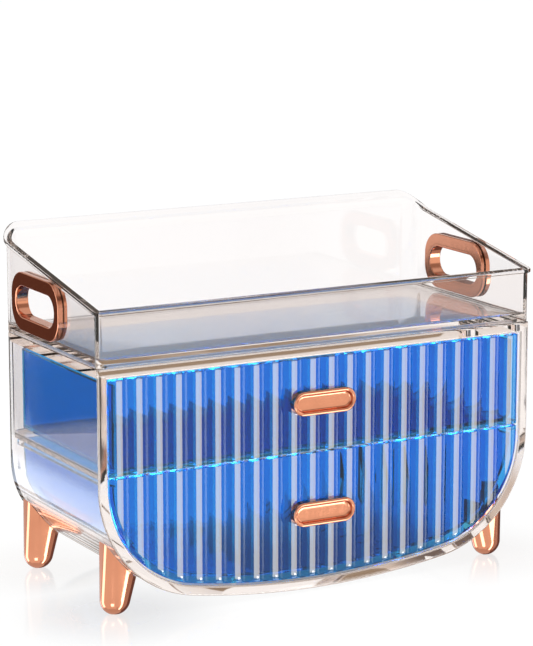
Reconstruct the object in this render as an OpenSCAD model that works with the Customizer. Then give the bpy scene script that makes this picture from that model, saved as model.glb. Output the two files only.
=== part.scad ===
// Clear cosmetic organizer box: a bowed cabinet with two fluted drawers,
// a lift-off tray with finger grips and four tapered legs.
// Millimetres. +Z is up, the drawers open towards -Y and the origin is
// on the floor below the middle of the outer box.

/* [Cabinet] */
// Width of the cabinet and of the tray above it
body_w = 283; // [240:1:330]
// Depth of the cabinet from its front edge to its back
body_d = 130; // [110:1:170]
// Height of the cabinet's top face above the floor
cabinet_top = 144.5; // [125:0.5:175]
// Thickness of the cabinet's side, bottom and top walls
wall = 6; // [4:0.1:8]
// Thickness of the cabinet's back wall
back_wall = 3; // [2:0.1:5]
// Radius of the large lower corners
corner_r = 69.5; // [60:0.5:76]
// Radius of the gently bowed underside
belly_r = 500; // [420:10:800]
// Height of the lowest point of the underside above the floor
belly_z = 1.5; // [1:0.5:8]
// Radius of the upright corners at the back
back_r = 12; // [8:0.5:18]
// Width of the locating lip on the top face
lip_w = 2; // [1.5:0.1:3]
// Height of the locating lip on the top face
lip_h = 1; // [0.6:0.1:1.2]

/* [Shelf and runners] */
// Thickness of the shelf between the drawers
shelf_t = 3; // [2:0.1:4]
// Width of the side ledges that carry the shelf
ledge_w = 3; // [2:0.1:3.4]
// Height of the side ledges that carry the shelf
ledge_h = 3; // [2:0.1:4]
// Width of the two runner ribs under the lower drawer
rib_w = 3; // [2:0.1:5]
// Distance of each runner rib from the middle
rib_x = 55; // [30:1:65]

/* [Drawers] */
// Height above the floor where the two drawer fronts meet
split_z = 82.5; // [80:0.5:95]
// Gap between the two drawer fronts
split_gap = 1; // [0.6:0.1:2]
// Gap between a drawer front and the cabinet wall
front_gap = 1; // [0.6:0.1:1.6]
// Step from the edge of a drawer front in to the side of its tub
tub_step = 3.4; // [3:0.1:6]
// Wall thickness of the drawer tubs
tub_t = 2; // [1.4:0.1:3]
// Radius of the lower edges of the upper tub
tub_edge_r = 6; // [4:0.5:10]
// Radius of the upright back corners of the tubs
tub_back_r = 9; // [5:0.5:14]
// Space above each tub
tub_head = 4; // [2:0.5:10]
// Space behind each tub
tub_tail = 4; // [2:0.5:8]
// Running clearance under a drawer
run_gap = 0.3; // [0.2:0.05:0.6]

/* [Fluted fronts] */
// Thickness of a drawer front behind its flutes
front_t = 3; // [2:0.1:4]
// Number of upright flutes across a front
flute_count = 22; // [16:1:28]
// Height of a flute's crown
flute_h = 1.2; // [0.8:0.1:1.8]
// Flat land between two flutes
flute_land = 0.8; // [0.4:0.1:1.6]

/* [Pulls] */
// Length of a pull
pull_l = 41; // [34:0.5:50]
// Height of a pull
pull_h = 14.5; // [11:0.5:18]
// Thickness of the round rim of a pull
pull_rim = 2.4; // [1.8:0.1:3]
// How far a pull stands in front of the flutes
pull_proud = 4; // [3:0.1:6]
// Thickness of the floor of a pull's dish
pull_floor = 2.4; // [1.6:0.1:3]
// Radius of the fillet round a pull's dish
dish_r = 1.5; // [0.5:0.1:3]
// Height of a pull above the middle of its front
pull_lift = 1.8; // [0:0.1:4]
// Spacing of the two pegs of a pull
peg_gap = 22; // [16:1:28]
// Radius of a pull's pegs
peg_r = 2; // [1.5:0.1:2.6]
// Clearance round a peg, a pull or a leg
fit_gap = 0.15; // [0.1:0.05:0.3]

/* [Tray] */
// Wall thickness of the tray
tray_t = 3; // [2:0.1:4]
// Thickness of the tray's floor
tray_floor = 2.5; // [2:0.1:4]
// Width of the foot round the tray's underside
foot_w = 6; // [4:0.5:9]
// Height of the foot round the tray's underside
foot_h = 1.5; // [1.3:0.1:2.5]
// Clearance under and inside the tray's foot
seat_gap = 0.2; // [0.1:0.05:0.4]
// Height of the tray's front wall above the cabinet
tray_front_h = 32; // [26:0.5:42]
// Height of the tray's sides above the cabinet where the back sweep starts
tray_side_h = 52.5; // [48:0.5:62]
// Height of the tray's back wall above the cabinet
tray_back_h = 61.5; // [58:0.5:72]
// Length of the upward sweep at the back of each side
sweep_l = 17; // [14:0.5:24]
// Radius of the tray's front corners
tray_front_r = 3.5; // [3.2:0.1:6]
// How far the rim stands out from the tray's walls
rim_out = 1.8; // [1:0.1:2.8]
// Depth of the rim
rim_h = 2; // [1.4:0.1:3.2]

/* [Finger grips] */
// Length of a grip ring
grip_l = 64; // [58:0.5:76]
// Height of a grip ring
grip_h = 34; // [30:0.5:36]
// Corner radius of a grip ring
grip_r = 14; // [12:0.5:15]
// Length of the finger hole
hole_l = 52; // [44:0.5:54]
// Height of the finger hole
hole_h = 18; // [16:0.5:22]
// Thickness of the sleeve round the finger hole
sleeve_t = 1.6; // [1.2:0.1:2]
// Thickness of the outer ring
ring_t = 3; // [2:0.1:4]
// Thickness of the inner ring
ring_back_t = 2; // [1.4:0.1:3]
// Distance of the grips behind the middle of the body
grip_back = 11; // [0:0.5:14]
// Gap between a grip ring and the underside of the rim
grip_gap = 0.4; // [0.2:0.1:2]

/* [Legs] */
// Step from the cabinet's side in to the leg's outer face
leg_in = 9.5; // [6:0.5:14]
// Distance of the front legs behind the front edge
leg_front = 16.5; // [12:0.5:30]
// Distance of the back legs before the back edge
leg_back = 9; // [9:0.5:30]
// How far a leg's tip stands out past its outer face at the top
leg_splay = 1.5; // [0:0.5:4]
// Width of a leg at its tip
leg_tip_w = 18; // [15:0.5:20]
// Depth of a leg at its tip
leg_tip_d = 14.5; // [11:0.5:15]
// Height of the round toe
leg_toe_h = 9; // [7:0.5:12]
// Width of a leg where it ends inside the corner's curve
leg_top_w = 29.5; // [24:0.5:32]
// Depth of a leg at its top
leg_top_d = 17.5; // [16:0.5:18]
// Radius of the leg's outer upright edges
leg_outer_r = 6; // [3:0.5:7]
// Length of the half-round inner end of a leg at its top
leg_inner_l = 14; // [9:0.5:18]
// Depth of the flat foot cut from the round toe
foot_cut = 0.5; // [0.4:0.1:1.5]
// Radius of the peg that fixes a leg
leg_peg_r = 3; // [2:0.1:4]
// Angle of the peg below the level
leg_peg_angle = 45; // [40:1:50]

/* [Hidden] */
$fn = 96;
cut = 1;
clear_tint = [0.90, 0.87, 0.86, 0.35];
blue_tint = [0.10, 0.42, 0.86, 0.60];
rose_gold = [0.87, 0.59, 0.46];

// The outer box runs from the pulls to the tray's back rim and is centred on Y
mid_y = (pull_proud - rim_out) / 2;
front_y = mid_y - body_d / 2;
back_y = mid_y + body_d / 2;

// Centres of the corner arcs and of the underside arc, which meet smoothly
corner_x = body_w / 2 - corner_r;
belly_cz = belly_z + belly_r;
corner_z = belly_cz - sqrt(pow(belly_r - corner_r, 2) - pow(corner_x, 2));
function meet_x(inset) = (belly_r - inset) * corner_x / (belly_r - corner_r);

// Drawer planes and levels
front_inset = wall + front_gap;
tub_inset = front_inset + tub_step;
front_face_y = front_y + flute_h;
front_back_y = front_face_y + front_t;
tub_back_y = back_y - back_wall - tub_tail;
upper_front_z = split_z + split_gap / 2;
lower_front_top = split_z - split_gap / 2;
upper_front_top = cabinet_top - front_inset;
lower_front_z = belly_z + front_inset;
shelf_top = upper_front_z + shelf_t / 2;
shelf_z = shelf_top - shelf_t;
shelf_front_y = front_back_y + front_gap;
upper_tub_z = shelf_top + run_gap;
upper_tub_top = cabinet_top - wall - tub_head;
lower_tub_top = shelf_z - tub_head;
tub_half_w = body_w / 2 - tub_inset;
upper_pull_z = (upper_front_z + upper_front_top) / 2 + pull_lift;
lower_pull_z = (lower_front_z + lower_front_top) / 2 + pull_lift;

// Flutes: arcs that rise from the front's face by flute_h
front_w = body_w - 2 * front_inset;
flute_pitch = front_w / flute_count;
flute_chord = flute_pitch - flute_land;
flute_r = (pow(flute_h, 2) + pow(flute_chord / 2, 2)) / (2 * flute_h);

// Tray levels and the line of its rim seen from the side
tray_z = cabinet_top + seat_gap;
tray_floor_z = tray_z + foot_h;
tray_inside_z = tray_floor_z + tray_floor;
rim_front_z = cabinet_top + tray_front_h;
sweep_y = back_y - sweep_l;
sweep_z = cabinet_top + tray_side_h;
rim_slope = atan2(sweep_z - rim_front_z, sweep_y - front_y);
sweep_along = sweep_l * cos(rim_slope) + (tray_back_h - tray_side_h) * sin(rim_slope);
sweep_rise = (tray_back_h - tray_side_h) * cos(rim_slope) - sweep_l * sin(rim_slope);
sweep_r = (pow(sweep_along, 2) + pow(sweep_rise, 2)) / (2 * sweep_rise);
sweep_cy = sweep_y - sweep_r * sin(rim_slope);
sweep_cz = sweep_z + sweep_r * cos(rim_slope);

// The grips hang below the sloping rim, which their upper front corners clear by grip_gap
grip_y = mid_y + grip_back;
grip_corner_y = grip_y - grip_l / 2 + grip_r;
rim_under_z = rim_front_z - rim_h + (grip_corner_y - front_y) * tan(rim_slope);
grip_z = rim_under_z - (grip_r + grip_gap) / cos(rim_slope) + grip_r - grip_h / 2;
sleeve_l = hole_l + 2 * sleeve_t;
sleeve_h = hole_h + 2 * sleeve_t;

// Legs
leg_x = body_w / 2 - leg_in;
leg_tip_x = leg_x + leg_splay - leg_tip_w / 2;
leg_top_z = corner_z - corner_r * sin(20);

// Carries a front-view outline from y0 back to y1
module along_y(y0, y1) {
    translate([0, y1, 0])
        rotate([90, 0, 0])
            linear_extrude(height = y1 - y0)
                children();
}

// Carries a side-view outline from x0 across to x1
module along_x(x0, x1) {
    translate([x0, 0, 0])
        rotate([90, 0, 90])
            linear_extrude(height = x1 - x0)
                children();
}

// Carries a plan outline from z0 up to z1
module along_z(z0, z1) {
    translate([0, 0, z0])
        linear_extrude(height = z1 - z0)
            children();
}

// Front view of the cabinet, drawn in by inset: straight sides, two corner arcs and the bowed underside
module bowl_outline(inset, top_z) {
    half_w = body_w / 2 - inset;
    reach = meet_x(inset);
    translate([-half_w, corner_z])
        square([2 * half_w, top_z - corner_z]);
    intersection() {
        for (side = [-1, 1])
            translate([side * corner_x, corner_z])
                circle(r = corner_r - inset);
        translate([-half_w - cut, belly_z - cut])
            square([2 * (half_w + cut), corner_z - belly_z + cut]);
    }
    intersection() {
        translate([0, belly_cz])
            circle(r = belly_r - inset, $fn = 720);
        translate([-reach, belly_z - cut])
            square([2 * reach, corner_z - belly_z + cut]);
    }
}

// Plan with its own corner radii at the front and at the back
module plan_outline(half_w, y0, y1, front_r, rear_r) {
    translate([-half_w, y0 + front_r])
        square([2 * half_w, y1 - y0 - front_r - rear_r]);
    translate([-half_w + front_r, y0])
        square([2 * (half_w - front_r), y1 - y0 - rear_r]);
    translate([-half_w + rear_r, y0 + front_r])
        square([2 * (half_w - rear_r), y1 - y0 - front_r]);
    for (side = [-1, 1]) {
        translate([side * (half_w - front_r), y0 + front_r])
            circle(r = front_r);
        translate([side * (half_w - rear_r), y1 - rear_r])
            circle(r = rear_r);
    }
}

// Plan with square front corners and round back corners
module back_plan(half_w, y0, y1, rear_r) {
    translate([-half_w, y0])
        square([2 * half_w, y1 - y0 - rear_r]);
    translate([-half_w + rear_r, y0])
        square([2 * (half_w - rear_r), y1 - y0]);
    for (side = [-1, 1])
        translate([side * (half_w - rear_r), y1 - rear_r])
            circle(r = rear_r);
}

// Oblong with round corners, centred
module oblong(length, height, radius) {
    square([length, height - 2 * radius], center = true);
    square([length - 2 * radius, height], center = true);
    for (a = [-1, 1], b = [-1, 1])
        translate([a * (length / 2 - radius), b * (height / 2 - radius)])
            circle(r = radius);
}

// Capsule with half-round ends, centred
module capsule(length, height) {
    square([length - height, height], center = true);
    for (side = [-1, 1])
        translate([side * (length - height) / 2, 0])
            circle(r = height / 2);
}

// Moulded housing with an open front, side ledges, runner ribs and a locating lip
module cabinet_shell() {
    color(clear_tint)
        union() {
            difference() {
                intersection() {
                    along_y(front_y, back_y)
                        bowl_outline(0, cabinet_top);
                    along_z(belly_z - cut, cabinet_top + cut)
                        back_plan(body_w / 2, front_y, back_y, back_r);
                }
                intersection() {
                    along_y(front_y - cut, back_y - back_wall)
                        bowl_outline(wall, cabinet_top - wall);
                    along_z(belly_z - cut, cabinet_top)
                        back_plan(body_w / 2 - wall, front_y - cut, back_y - back_wall, back_r - back_wall);
                }
                for (side = [-1, 1], y = leg_rows())
                    leg_peg(side, y, leg_peg_r + fit_gap, wall + cut, cut);
            }
            for (side = [-1, 1])
                shelf_ledge(side);
            for (side = [-1, 1])
                runner_rib(side);
            locating_lip();
        }
}

// Side ledge that carries the shelf, rooted in the wall
module shelf_ledge(side) {
    inner_x = body_w / 2 - wall - ledge_w;
    rooted_w = ledge_w + wall / 2;
    along_y(shelf_front_y, back_y - back_wall - back_r)
        translate([side > 0 ? inner_x : -inner_x - rooted_w, shelf_z - ledge_h])
            square([rooted_w, ledge_h]);
}

// Upright rib under the lower drawer, with its top in line with the tub's underside
module runner_rib(side) {
    along_y(front_back_y + front_gap, back_y - back_wall / 2)
        intersection() {
            difference() {
                bowl_outline(wall / 2, corner_z + cut);
                bowl_outline(tub_inset - run_gap, corner_z + 2 * cut);
            }
            translate([side * rib_x - rib_w / 2, 0])
                square([rib_w, corner_z]);
        }
}

// Low rim on the top face that keeps the tray from sliding
module locating_lip() {
    inset = foot_w + seat_gap;
    along_z(cabinet_top - wall / 2, cabinet_top + lip_h)
        difference() {
            tray_plan(-inset);
            tray_plan(-inset - lip_w);
        }
}

// Flat shelf that the upper drawer slides on
module middle_shelf() {
    color(clear_tint)
        along_z(shelf_z, shelf_top)
            back_plan(
                body_w / 2 - wall - fit_gap, shelf_front_y,
                back_y - back_wall - fit_gap, back_r - back_wall
            );
}

// Section of the upper tub: flat floor with round lower edges
module tub_section(half_w, z0, z1, radius) {
    translate([-half_w, z0 + radius])
        square([2 * half_w, z1 - z0 - radius]);
    translate([-half_w + radius, z0])
        square([2 * (half_w - radius), radius]);
    for (side = [-1, 1])
        translate([side * (half_w - radius), z0 + radius])
            circle(r = radius);
}

// Open tub behind the upper front
module upper_drawer_tub() {
    color(blue_tint)
        difference() {
            intersection() {
                along_y(front_back_y, tub_back_y)
                    tub_section(tub_half_w, upper_tub_z, upper_tub_top, tub_edge_r);
                along_z(upper_tub_z - cut, upper_tub_top + cut)
                    back_plan(tub_half_w, front_back_y, tub_back_y, tub_back_r);
            }
            intersection() {
                along_y(front_back_y - cut, tub_back_y - tub_t)
                    tub_section(tub_half_w - tub_t, upper_tub_z + tub_t, upper_tub_top + cut, tub_edge_r - tub_t);
                along_z(upper_tub_z, upper_tub_top + 2 * cut)
                    back_plan(tub_half_w - tub_t, front_back_y - cut, tub_back_y - tub_t, tub_back_r - tub_t);
            }
        }
}

// Open tub behind the lower front, with the cabinet's own bowed section
module lower_drawer_tub() {
    color(blue_tint)
        difference() {
            intersection() {
                along_y(front_back_y, tub_back_y)
                    bowl_outline(tub_inset, lower_tub_top);
                along_z(0, lower_tub_top + cut)
                    back_plan(tub_half_w, front_back_y, tub_back_y, tub_back_r);
            }
            intersection() {
                along_y(front_back_y - cut, tub_back_y - tub_t)
                    bowl_outline(tub_inset + tub_t, lower_tub_top + cut);
                along_z(0, lower_tub_top + 2 * cut)
                    back_plan(tub_half_w - tub_t, front_back_y - cut, tub_back_y - tub_t, tub_back_r - tub_t);
            }
        }
}

// Plan of a fluted front: a flat plate with a row of shallow arcs on its face
module flute_plan() {
    translate([-front_w / 2, front_face_y])
        square([front_w, front_t]);
    intersection() {
        for (i = [0 : flute_count - 1])
            translate([(i + 0.5) * flute_pitch - front_w / 2, front_y + flute_r])
                circle(r = flute_r, $fn = 180);
        translate([-front_w / 2, front_y - cut])
            square([front_w, cut + flute_h + front_t / 2]);
    }
}

// Fluted front between two levels, trimmed to the cabinet's mouth, with a flat seat and holes for its pull
module drawer_front(z0, z1, pull_z) {
    color(blue_tint)
        difference() {
            intersection() {
                along_z(z0, z1)
                    flute_plan();
                along_y(front_y - cut, front_back_y + cut)
                    bowl_outline(front_inset, upper_front_top);
            }
            translate([0, 0, pull_z])
                along_y(front_y - cut, front_face_y)
                    capsule(pull_l + 2 * fit_gap, pull_h + 2 * fit_gap);
            pull_pegs(pull_z, peg_r + fit_gap, cut);
        }
}

// The two pegs that hold a pull, or their holes
module pull_pegs(pull_z, radius, extra) {
    for (side = [-1, 1])
        translate([side * peg_gap / 2, front_face_y - extra, pull_z])
            rotate([-90, 0, 0])
                cylinder(r = radius, h = front_t + 2 * extra);
}

// Half section of a pull: dish floor, fillet and round rim
module pull_section() {
    rim_top = flute_h + pull_proud;
    fillet = min(dish_r, rim_top - pull_rim / 2 - pull_floor);
    square([pull_h / 2, pull_floor]);
    translate([pull_h / 2 - pull_rim, 0])
        square([pull_rim, rim_top - pull_rim / 2]);
    translate([pull_h / 2 - pull_rim / 2, rim_top - pull_rim / 2])
        circle(r = pull_rim / 2, $fn = 48);
    translate([pull_h / 2 - pull_rim - fillet, pull_floor])
        difference() {
            translate([0, -pull_floor / 2])
                square([fillet + pull_rim / 2, fillet + pull_floor / 2]);
            translate([0, fillet])
                circle(r = fillet, $fn = 48);
        }
}

// Capsule-shaped dish with a round rim and two pegs
module drawer_pull(pull_z) {
    straight = pull_l - pull_h;
    color(rose_gold)
        union() {
            translate([0, front_face_y, pull_z])
                rotate([90, 0, 0]) {
                    for (side = [-1, 1])
                        translate([side * straight / 2, 0, 0])
                            rotate([0, 0, -side * 90])
                                rotate_extrude(angle = 180)
                                    pull_section();
                    for (side = [0, 180])
                        rotate([0, 0, side])
                            translate([straight / 2, 0, 0])
                                rotate([90, 0, -90])
                                    linear_extrude(height = straight)
                                        pull_section();
                }
            pull_pegs(pull_z, peg_r, 0);
        }
}

// Plan of the tray, grown by offset
module tray_plan(offset) {
    plan_outline(
        body_w / 2 + offset, front_y - offset, back_y + offset,
        max(tray_front_r + offset, fit_gap), max(back_r + offset, fit_gap)
    );
}

// Side view of all that lies under the tray's rim: a straight slope that sweeps up at the back
module under_rim(drop) {
    before = 2 * rim_out;
    translate([0, -drop])
        difference() {
            polygon([
                [front_y - before, 0],
                [front_y - before, rim_front_z - before * tan(rim_slope)],
                [sweep_y, sweep_z],
                [back_y + before, sweep_cz],
                [back_y + before, 0]
            ]);
            translate([sweep_cy, sweep_cz])
                circle(r = sweep_r, $fn = 180);
        }
}

// Open tray with sloping sides, a rim, a foot and two finger holes
module top_tray() {
    reach = body_w / 2 + 2 * rim_out;
    tall = cabinet_top + tray_back_h + 4 * rim_h;
    color(clear_tint)
        difference() {
            union() {
                intersection() {
                    along_z(tray_z, tall)
                        tray_plan(0);
                    along_x(-reach, reach)
                        under_rim(0);
                }
                intersection() {
                    along_z(tray_inside_z, tall)
                        tray_plan(rim_out);
                    along_x(-reach, reach)
                        difference() {
                            under_rim(0);
                            under_rim(rim_h);
                        }
                }
            }
            along_z(tray_inside_z, tall + cut)
                tray_plan(-tray_t);
            along_z(tray_z - cut, tray_floor_z)
                tray_plan(-foot_w);
            translate([0, grip_y, grip_z])
                along_x(-reach, reach)
                    capsule(sleeve_l + 2 * fit_gap, sleeve_h + 2 * fit_gap);
        }
}

// Outer ring of a finger grip, with the sleeve that lines the hole
module grip_ring(side) {
    color(rose_gold)
        mirror([side > 0 ? 0 : 1, 0, 0])
            translate([body_w / 2, grip_y, grip_z])
                difference() {
                    union() {
                        along_x(0, ring_t)
                            oblong(grip_l, grip_h, grip_r);
                        along_x(-tray_t - ring_back_t, ring_t)
                            capsule(sleeve_l, sleeve_h);
                    }
                    along_x(-tray_t - ring_back_t - cut, ring_t + cut)
                        capsule(hole_l, hole_h);
                }
}

// Inner ring that closes on the sleeve inside the tray
module grip_back_ring(side) {
    color(rose_gold)
        mirror([side > 0 ? 0 : 1, 0, 0])
            translate([body_w / 2 - tray_t, grip_y, grip_z])
                along_x(-ring_back_t, 0)
                    difference() {
                        oblong(grip_l, grip_h, grip_r);
                        capsule(sleeve_l + 2 * fit_gap, sleeve_h + 2 * fit_gap);
                    }
}

// The two rows that the legs stand in
function leg_rows() = [front_y + leg_front, back_y - leg_back];

// Peg square to the corner's curve, reaching in and out of its surface
module leg_peg(side, y, radius, reach_in, reach_out) {
    translate([side * corner_x, y, corner_z])
        rotate([0, side * (90 + leg_peg_angle), 0])
            translate([0, 0, corner_r - reach_in])
                cylinder(r = radius, h = reach_in + reach_out);
}

// Tapered leg: a round toe, a half-round inner end that slants, and a top cut to the cabinet's curve
module leg(side, y) {
    outer_x = leg_x - leg_outer_r;
    outer_y = leg_top_d / 2 - leg_outer_r;
    inner_x = leg_x - leg_top_w + leg_inner_l;
    color(rose_gold)
        union() {
            difference() {
                mirror([side > 0 ? 0 : 1, 0, 0])
                    translate([0, y, 0])
                        hull() {
                            translate([leg_tip_x, 0, leg_toe_h - foot_cut])
                                scale([leg_tip_w / 2, leg_tip_d / 2, leg_toe_h])
                                    sphere(r = 1, $fn = 40);
                            for (row = [-1, 1])
                                translate([outer_x, row * outer_y, leg_top_z - cut])
                                    cylinder(r = leg_outer_r, h = cut, $fn = 40);
                            translate([inner_x, 0, leg_top_z - cut])
                                scale([leg_inner_l, leg_top_d / 2, 1])
                                    cylinder(r = 1, h = cut, $fn = 48);
                        }
                along_y(front_y - cut, back_y + cut)
                    bowl_outline(-fit_gap, cabinet_top);
                translate([-body_w, front_y, -leg_toe_h])
                    cube([2 * body_w, body_d, leg_toe_h]);
            }
            leg_peg(side, y, leg_peg_r, wall - fit_gap, 2 * leg_peg_r);
        }
}

cabinet_shell();
middle_shelf();
upper_drawer_tub();
drawer_front(upper_front_z, upper_front_top, upper_pull_z);  // upper_drawer_front
drawer_pull(upper_pull_z);  // upper_drawer_pull
lower_drawer_tub();
drawer_front(0, lower_front_top, lower_pull_z);  // lower_drawer_front
drawer_pull(lower_pull_z);  // lower_drawer_pull
top_tray();
grip_ring(-1);  // left_grip_ring
grip_back_ring(-1);  // left_grip_back_ring
grip_ring(1);  // right_grip_ring
grip_back_ring(1);  // right_grip_back_ring
leg(-1, leg_rows()[0]);  // front_left_leg
leg(1, leg_rows()[0]);  // front_right_leg
leg(-1, leg_rows()[1]);  // back_left_leg
leg(1, leg_rows()[1]);  // back_right_leg
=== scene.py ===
"""Looks of a clear organizer box: bowed cabinet, two fluted drawers, lift-off tray, finger grips and legs.

Lengths are millimetres in the part's own frame until a mesh is written, and metres from there on.
Every piece is a closed surface worked out on grids of points.
"""

from __future__ import annotations

import logging
import math
from collections.abc import Callable
from dataclasses import dataclass, replace
from enum import Enum

import bmesh
import bpy
import numpy as np
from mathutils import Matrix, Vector


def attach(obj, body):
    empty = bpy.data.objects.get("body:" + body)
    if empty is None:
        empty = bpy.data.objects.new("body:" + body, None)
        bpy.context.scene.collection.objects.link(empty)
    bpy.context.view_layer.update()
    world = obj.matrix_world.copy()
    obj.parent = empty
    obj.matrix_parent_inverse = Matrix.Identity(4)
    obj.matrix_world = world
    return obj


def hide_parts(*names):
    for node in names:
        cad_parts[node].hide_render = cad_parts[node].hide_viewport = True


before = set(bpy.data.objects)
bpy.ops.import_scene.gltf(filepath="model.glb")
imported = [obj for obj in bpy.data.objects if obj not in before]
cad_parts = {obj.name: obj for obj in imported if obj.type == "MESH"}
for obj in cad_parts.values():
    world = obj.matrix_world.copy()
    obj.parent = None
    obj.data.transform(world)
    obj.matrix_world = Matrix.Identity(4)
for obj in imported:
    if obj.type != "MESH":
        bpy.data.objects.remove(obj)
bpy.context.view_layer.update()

MM = 0.001
WELD = 2e-6
DEGREES = 180 / math.pi
Array = np.ndarray
Pair = tuple[float, float]
Triple = tuple[float, float, float]
Socket = bpy.types.NodeSocket
LOG = logging.getLogger("organizer_box")


class Body(Enum):
    """Moving bodies of the box."""

    CABINET = "cabinet"
    UPPER_DRAWER = "upper_drawer"
    LOWER_DRAWER = "lower_drawer"
    TRAY = "tray"


class Side(Enum):
    """Left and right of the box, as the sign of X."""

    LEFT = -1
    RIGHT = 1


def place(first: Array, second: Array, third: Array) -> Array:
    """Joins three coordinate arrays into points.

    Args:
        first: X values in millimetres.
        second: Y values, broadcast against the first.
        third: Z values, broadcast against the first.

    Returns:
        An array of points with a last axis of three.
    """
    return np.stack(np.broadcast_arrays(first, second, third), axis=-1).astype(float)


def ways(angle: Array) -> Array:
    """Unit vectors in a plane at angles in radians."""
    return np.stack([np.cos(angle), np.sin(angle)], axis=1)


def fan(loop: Array, steps: int) -> Array:
    """Rings that shrink from a loop to its middle.

    Args:
        loop: Points of the loop.
        steps: Number of rings between the loop and its middle.

    Returns:
        Points as rings by loop points by three.
    """
    share = np.linspace(0, 1, steps + 1)[:, None, None]
    return loop * (1 - share) + loop.mean(axis=0) * share


def quarter(count: int = 4) -> tuple[Array, Array]:
    """Quarter turn for an edge round.

    Args:
        count: Number of steps.

    Returns:
        1 - cos and 1 - sin of angles from 0 to 90 degrees.
    """
    angle = np.linspace(0.0, np.pi / 2, count + 1)
    return 1 - np.cos(angle), 1 - np.sin(angle)


@dataclass(frozen=True)
class Outline:
    """Line in a plane that can move to a parallel of itself.

    Its parallel at depth d is centre + (radius - d) * normal. Where d is deeper than a corner's radius,
    the corner drifts inwards on its diagonal instead.
    """

    centre: Array
    radius: Array
    normal: Array
    drift: Array

    @classmethod
    def arc(cls, centre: Pair, radius: float, start: float, stop: float, count: int) -> Outline:
        """Arc with its outward normals.

        Args:
            centre: Centre of the arc.
            radius: Radius of the arc.
            start: First angle in degrees.
            stop: Last angle in degrees.
            count: Number of points.

        Returns:
            The arc as an outline.
        """
        angle = np.radians(np.linspace(start, stop, count))
        middle = np.radians((start + stop) / 2)
        diagonal = np.sign(np.round([np.cos(middle), np.sin(middle)], 6))
        return cls(
            np.tile(np.asarray(centre, float), (count, 1)),
            np.full(count, float(radius)),
            ways(angle),
            np.tile(diagonal, (count, 1)),
        )

    @classmethod
    def line(cls, points: Array, normal: Pair) -> Outline:
        """Straight row of points.

        Args:
            points: Points on the line.
            normal: Outward normal of the line.

        Returns:
            The line as an outline.
        """
        normals = np.tile(np.asarray(normal, float), (len(points), 1))
        return cls(np.asarray(points, float), np.zeros(len(points)), normals, normals)

    @classmethod
    def join(cls, *parts: Outline) -> Outline:
        """One outline from several in a row."""
        return cls(
            np.concatenate([p.centre for p in parts]),
            np.concatenate([p.radius for p in parts]),
            np.concatenate([p.normal for p in parts]),
            np.concatenate([p.drift for p in parts]),
        )

    @classmethod
    def box(
        cls,
        low: Pair,
        high: Pair,
        radii: tuple[float, float, float, float],
        turn: int = 10,
        right: Array | None = None,
        left: Array | None = None,
        across: int = 14,
    ) -> Outline:
        """Closed rectangle with round corners, anticlockwise from its lower left.

        Args:
            low: Lowest corner.
            high: Highest corner.
            radii: Corner radii: lower left, lower right, upper right, upper left.
            turn: Points on each corner.
            right: Own stops on the right side, rising.
            left: Own stops on the left side, falling.
            across: Stops between the corners of the other sides.

        Returns:
            The closed outline.
        """
        (x0, y0), (x1, y1), (a, b, c, d) = low, high, radii
        step = np.linspace(0, 1, across + 2)[1:-1]
        right = y0 + b + (y1 - c - y0 - b) * step if right is None else right
        left = y1 - d + (y0 + a - y1 + d) * step if left is None else left
        lower = x0 + a + (x1 - b - x0 - a) * step
        upper = x1 - c + (x0 + d - x1 + c) * step
        return cls.join(
            cls.line(np.stack([lower, np.full_like(lower, y0)], 1), (0, -1)),
            cls.arc((x1 - b, y0 + b), b, -90, 0, turn),
            cls.line(np.stack([np.full_like(right, x1), right], 1), (1, 0)),
            cls.arc((x1 - c, y1 - c), c, 0, 90, turn),
            cls.line(np.stack([upper, np.full_like(upper, y1)], 1), (0, 1)),
            cls.arc((x0 + d, y1 - d), d, 90, 180, turn),
            cls.line(np.stack([np.full_like(left, x0), left], 1), (-1, 0)),
            cls.arc((x0 + a, y0 + a), a, 180, 270, turn),
        )

    @classmethod
    def oblong(cls, length: float, height: float, radius: float, turn: int = 14) -> Outline:
        """Centred oblong with round corners; half the height as radius makes it a capsule."""
        half = (length / 2, height / 2)
        return cls.box((-half[0], -half[1]), half, (radius,) * 4, turn, across=6)

    def inset(self, depth: float) -> Array:
        """Points of the parallel at a depth, inwards where positive.

        Args:
            depth: Distance in millimetres.

        Returns:
            The points of the parallel.
        """
        room = self.radius - depth
        inside = np.maximum(room, 0)[:, None] * self.normal
        beyond = np.minimum(room, 0)[:, None] * self.drift
        return self.centre + inside + beyond


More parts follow.
